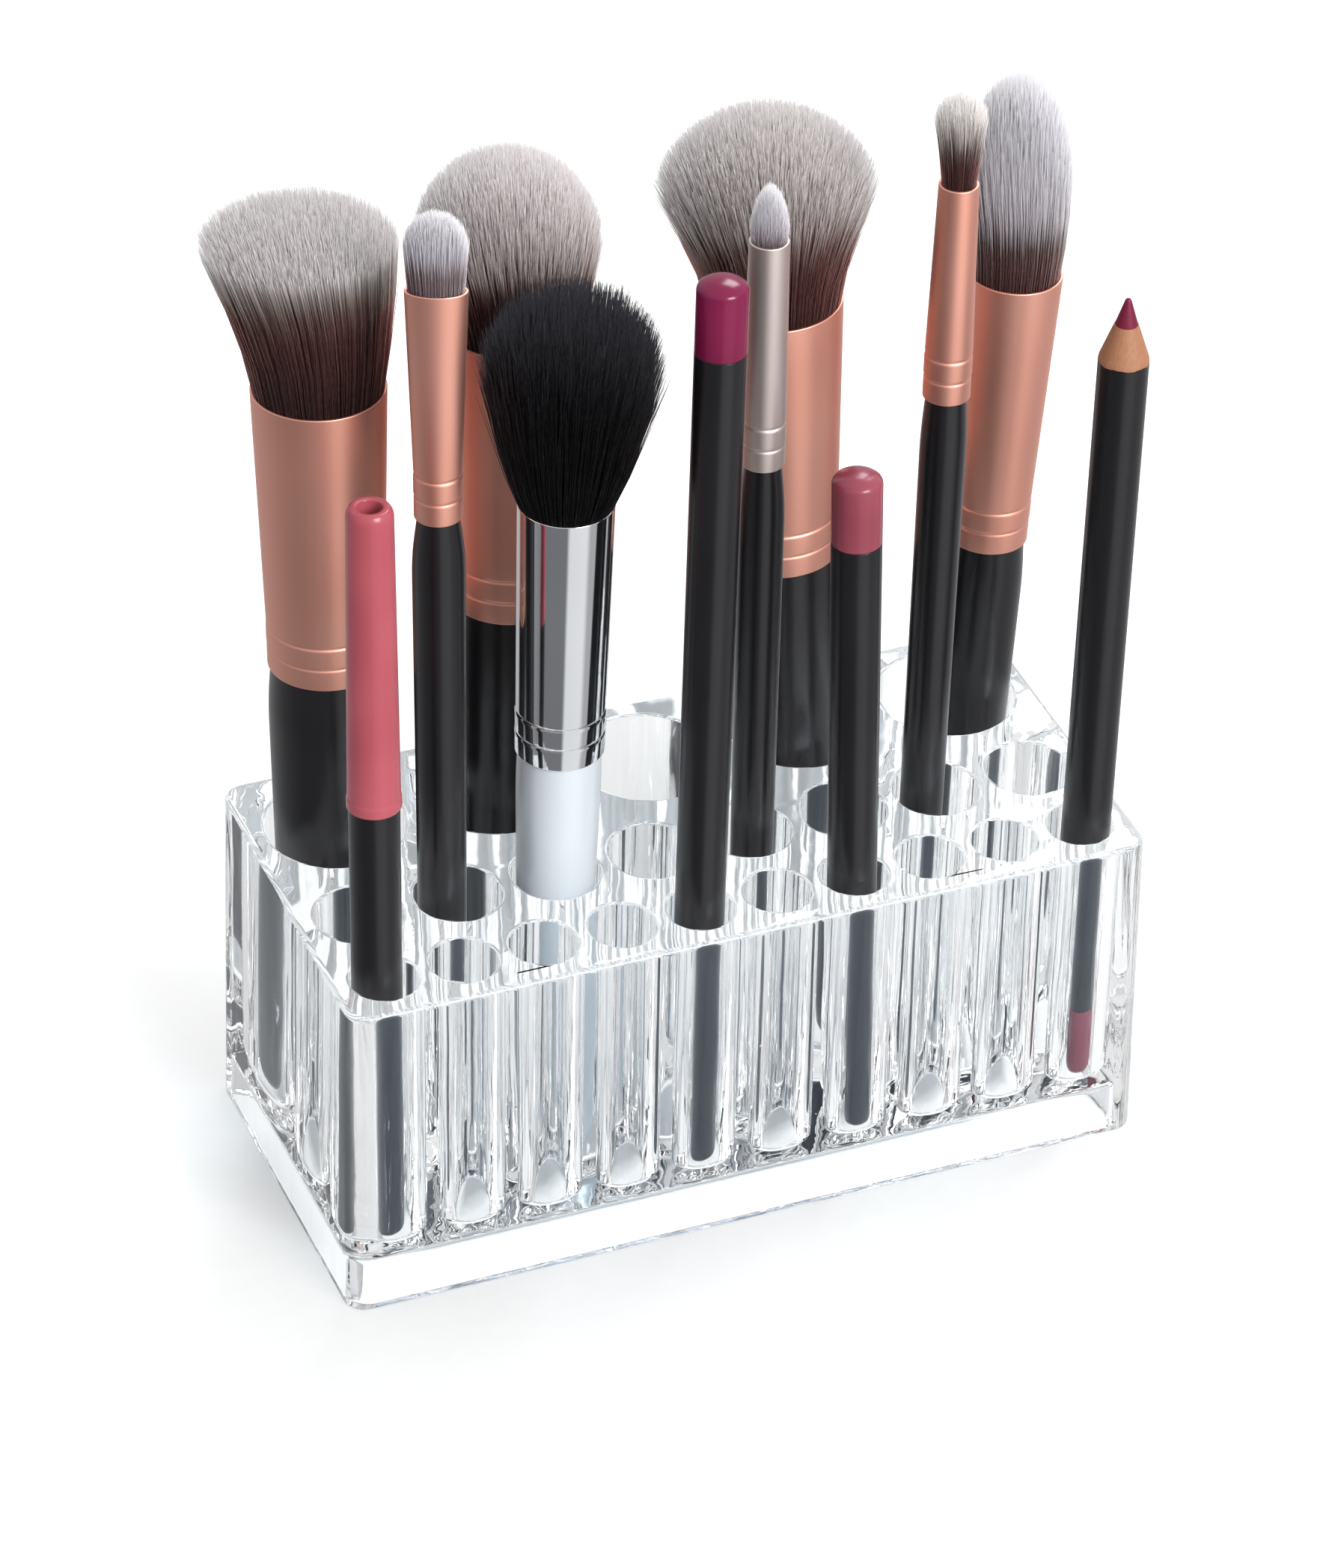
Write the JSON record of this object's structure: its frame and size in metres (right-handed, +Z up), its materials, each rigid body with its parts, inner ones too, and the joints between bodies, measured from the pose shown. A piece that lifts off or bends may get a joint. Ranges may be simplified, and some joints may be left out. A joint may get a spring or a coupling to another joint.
{
  "type": "vanity organizer",
  "caption": "Clear drafted block with rows of round bores, holding make-up brushes and cosmetic pencils that lift out one by one.",
  "frame": {"origin": "centre of the stocked organizer's bounding box in plan, at table height", "axes": "+X along the rows of bores to the right seen from the low front side, +Y from the front (thin tools) to the rear (thick brushes), +Z up"},
  "size_m": [0.138, 0.0672, 0.1812],
  "materials": {
    "clear_acrylic": "clear, cast, polished",
    "black_lacquer": "black satin lacquer",
    "pearl_lacquer": "pearl silver lacquer",
    "rose_gold": "satin rose gold anodised",
    "champagne_metal": "satin champagne anodised",
    "chrome_metal": "polished",
    "duo_hair": "brown roots with pale tips",
    "pale_hair": "pale lavender",
    "black_hair": "black",
    "magenta_end": "magenta gloss",
    "mauve_end": "mauve gloss",
    "rose_cap": "rose pink gloss",
    "cosmetic_lead": "waxy dark pink"
  },
  "bodies": {
    "holder": {"holder_block": "clear_acrylic"},
    "kabuki_brush": {"kabuki_brush_handle": "black_lacquer", "kabuki_brush_ferrule": "rose_gold", "kabuki_brush_hair": "duo_hair"},
    "shader_brush": {"shader_brush_handle": "black_lacquer", "shader_brush_ferrule": "rose_gold", "shader_brush_hair": "pale_hair"},
    "buffing_brush": {"buffing_brush_handle": "black_lacquer", "buffing_brush_ferrule": "rose_gold", "buffing_brush_hair": "duo_hair"},
    "powder_brush": {"powder_brush_handle": "pearl_lacquer", "powder_brush_ferrule": "chrome_metal", "powder_brush_hair": "black_hair"},
    "detail_brush": {"detail_brush_handle": "black_lacquer", "detail_brush_ferrule": "champagne_metal", "detail_brush_hair": "pale_hair"},
    "flared_brush": {"flared_brush_handle": "black_lacquer", "flared_brush_ferrule": "rose_gold", "flared_brush_hair": "duo_hair"},
    "crease_brush": {"crease_brush_handle": "black_lacquer", "crease_brush_ferrule": "rose_gold", "crease_brush_hair": "pale_hair"},
    "foundation_brush": {"foundation_brush_handle": "black_lacquer", "foundation_brush_ferrule": "rose_gold", "foundation_brush_hair": "pale_hair"},
    "magenta_pencil": {"magenta_pencil_barrel": "black_lacquer", "magenta_pencil_end": "magenta_end"},
    "mauve_pencil": {"mauve_pencil_barrel": "black_lacquer", "mauve_pencil_end": "mauve_end"},
    "sharpened_pencil": {"sharpened_pencil_barrel": "black_lacquer", "sharpened_pencil_lead": "cosmetic_lead", "sharpened_pencil_end": "mauve_end"},
    "capped_pencil": {"capped_pencil_barrel": "black_lacquer", "capped_pencil_lead": "cosmetic_lead"},
    "pencil_cap": {"capped_pencil_cap": "rose_cap"}
  },
  "joints": [
    {"name": "kabuki_brush_lift", "type": "slide", "parent": "holder", "child": "kabuki_brush", "axis": [-0.0133, 0.0055, 0.9999], "range_m": [0, 0.06]},
    {"name": "shader_brush_lift", "type": "slide", "parent": "holder", "child": "shader_brush", "axis": [-0.0073, 0.003, 1], "range_m": [0, 0.06]},
    {"name": "buffing_brush_lift", "type": "slide", "parent": "holder", "child": "buffing_brush", "axis": [0.0192, 0.0354, 0.9992], "range_m": [0, 0.06]},
    {"name": "powder_brush_lift", "type": "slide", "parent": "holder", "child": "powder_brush", "axis": [-0.0003, -0.0319, 0.9995], "range_m": [0, 0.06]},
    {"name": "detail_brush_lift", "type": "slide", "parent": "holder", "child": "detail_brush", "axis": [-0.0054, 0.0022, 1], "range_m": [0, 0.06]},
    {"name": "flared_brush_lift", "type": "slide", "parent": "holder", "child": "flared_brush", "axis": [-0.0504, 0.0212, 0.9985], "range_m": [0, 0.06]},
    {"name": "crease_brush_lift", "type": "slide", "parent": "holder", "child": "crease_brush", "axis": [0.0039, -0.0016, 1], "range_m": [0, 0.06]},
    {"name": "foundation_brush_lift", "type": "slide", "parent": "holder", "child": "foundation_brush", "axis": [0.034, -0.0121, 0.9993], "range_m": [0, 0.06]},
    {"name": "magenta_pencil_lift", "type": "slide", "parent": "holder", "child": "magenta_pencil", "axis": [0.0054, -0.0022, 1], "range_m": [0, 0.06]},
    {"name": "mauve_pencil_lift", "type": "slide", "parent": "holder", "child": "mauve_pencil", "axis": [-0.026, 0.0107, 0.9996], "range_m": [0, 0.06]},
    {"name": "sharpened_pencil_lift", "type": "slide", "parent": "holder", "child": "sharpened_pencil", "axis": [0.0042, -0.0012, 1], "range_m": [0, 0.06]},
    {"name": "capped_pencil_lift", "type": "slide", "parent": "holder", "child": "capped_pencil", "axis": [-0.0065, 0.0006, 1], "range_m": [0, 0.06]},
    {"name": "pencil_cap_pull", "type": "slide", "parent": "capped_pencil", "child": "pencil_cap", "axis": [-0.0065, 0.0006, 1], "range_m": [0, 0.04]}
  ]
}
